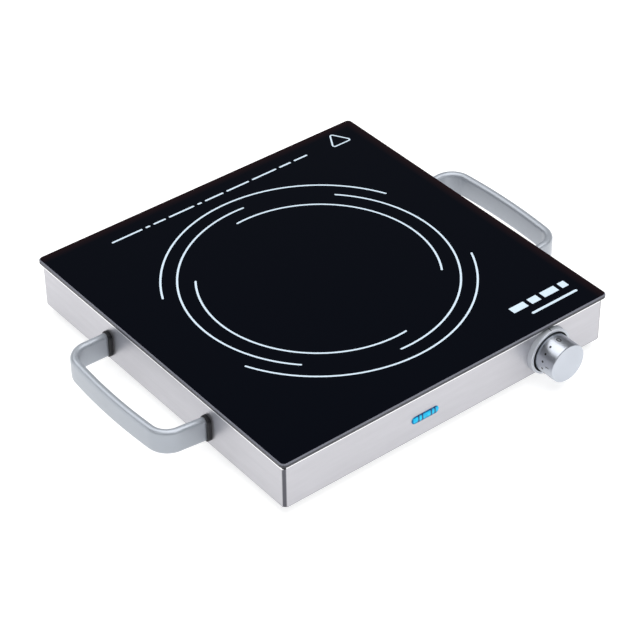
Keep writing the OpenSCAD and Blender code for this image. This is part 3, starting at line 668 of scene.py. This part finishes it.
def lens_outline(inset):
    """Points round the lens's stadium outline, drawn in by an inset: x and z from its middle."""
    half_w, r = (lens_hi.x - lens_lo.x) / 2, (lens_hi.z - lens_lo.z) / 2
    made = []
    for sign, start in ((1, -90), (-1, 90)):
        for i in range(END_STEPS + 1):
            a = math.radians(start + 180 * i / END_STEPS)
            made.append((sign * (half_w - r) + (r - inset) * math.cos(a), (r - inset) * math.sin(a)))
    return made


def make_lens():
    """The lens with its bull-nosed front; the socket behind the wall is kept."""
    mid = (lens_lo + lens_hi) / 2
    r = (lens_hi.z - lens_lo.z) / 2
    out = FRONT - lens_lo.y
    rings = [(SOCKET_INSET, lens_hi.y), (SOCKET_INSET, FRONT), (0.0, FRONT)]
    for i in range(DOME_STEPS + 1):
        a = math.radians(90 * i / DOME_STEPS)
        y = FRONT - DOME_BASE - (out - DOME_BASE) * math.sin(a)
        rings.append((DOME_SHARE * r * (1 - math.cos(a)), y))
    verts = []
    for inset, y in rings:
        verts += [(mid.x + u, y, mid.z + w) for u, w in lens_outline(inset)]
    count = len(lens_outline(0))
    faces = [tuple(range(count - 1, -1, -1))]
    for k in range(len(rings) - 1):
        for j in range(count):
            a, b = k * count + j, k * count + (j + 1) % count
            faces.append((a, b, b + count, a + count))
    last = (len(rings) - 1) * count
    faces.append(tuple(last + j for j in range(count)))
    piece = make_piece("lens_dome", verts, faces, "root", "lens_blue", smooth=True)
    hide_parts("pilot_lens")


make_lens()


# ---------------------------------------------------------------- stage, lights and camera

world = bpy.data.worlds.new("studio")
bpy.context.scene.world = world
world.use_nodes = True
world.node_tree.nodes["Background"].inputs["Color"].default_value = (0.92, 0.96, 1.0, 1)
world.node_tree.nodes["Background"].inputs["Strength"].default_value = 0.13

FLOOR_HALF = 4.0
FLOOR_Z = -0.05 * MM
floor_corners = [(u * FLOOR_HALF, v * FLOOR_HALF, FLOOR_Z) for u, v in ((-1, -1), (1, -1), (1, 1), (-1, 1))]
floor_mesh = bpy.data.meshes.new("floor")
floor_mesh.from_pydata(floor_corners, [], [(0, 1, 2, 3)])
floor = bpy.data.objects.new("floor", floor_mesh)
bpy.context.scene.collection.objects.link(floor)
floor_shader = Shader("light_table", (0.5, 0.5, 0.5), 0.9)
floor_shader.bsdf.inputs["Emission Color"].default_value = (1, 1, 1, 1)
floor_shader.bsdf.inputs["Emission Strength"].default_value = 0.72
floor_shader.bsdf.inputs["Specular IOR Level"].default_value = 0.0
floor_mesh.materials.append(floor_shader.mat)


AIM = Vector((0, 0, 0.03))


def area_light(name, at, size, power):
    """A rectangular light aimed at the middle of the body."""
    light = bpy.data.lights.new(name, "AREA")
    light.shape = "RECTANGLE"
    light.size, light.size_y = size
    light.energy = power
    obj = bpy.data.objects.new(name, light)
    bpy.context.scene.collection.objects.link(obj)
    obj.location = at
    obj.rotation_euler = (AIM - Vector(at)).to_track_quat("-Z", "Y").to_euler()
    obj.visible_camera = False


# Places and sizes in metres, powers in watts
area_light("overhead", (0.25, -0.35, 1.9), (2.6, 2.2), 46)
area_light("left_fill", (-1.9, -0.6, 1.2), (1.4, 1.2), 4)
area_light("front_fill", (-0.5, -2.1, 1.2), (1.6, 1.2), 2)
area_light("rear_box", (-0.4, 1.15, 1.75), (1.9, 1.5), 17)
area_light("low_left", (-1.7, 1.35, 0.35), (1.6, 0.6), 5)
area_light("low_front", (1.05, -1.8, 0.4), (1.6, 0.7), 6)

# The camera looks past the plate's middle: away from it, and shifted right and up in its own view
CAMERA_AZ = math.radians(-38.09)
CAMERA_EL = math.radians(38.13)
CAMERA_ROLL = math.radians(-0.656)
CAMERA_AWAY = 1.627
CAMERA_RIGHT = 0.0007
CAMERA_UP = -0.0317
flat = math.cos(CAMERA_EL)
forward = Vector((-math.sin(CAMERA_AZ) * flat, math.cos(CAMERA_AZ) * flat, -math.sin(CAMERA_EL)))
right = forward.cross(Vector((0, 0, 1))).normalized()
up = right.cross(forward)
cam_x = math.cos(CAMERA_ROLL) * right + math.sin(CAMERA_ROLL) * up
cam_y = -math.sin(CAMERA_ROLL) * right + math.cos(CAMERA_ROLL) * up
plate_top = Vector((GLASS_C.x, GLASS_C.y, GLASS_Z))
camera_at = plate_top + CAMERA_RIGHT * cam_x + CAMERA_UP * cam_y - CAMERA_AWAY * forward
camera_data = bpy.data.cameras.new("camera")
camera_data.lens = 128.25
camera_data.sensor_width = 36.0
camera_data.clip_start = 0.05
camera = bpy.data.objects.new("camera", camera_data)
bpy.context.scene.collection.objects.link(camera)
camera.matrix_world = Matrix((
    (cam_x.x, cam_y.x, -forward.x, camera_at.x),
    (cam_x.y, cam_y.y, -forward.y, camera_at.y),
    (cam_x.z, cam_y.z, -forward.z, camera_at.z),
    (0, 0, 0, 1),
))
bpy.context.scene.camera = camera
bpy.context.scene.view_settings.view_transform = "Standard"
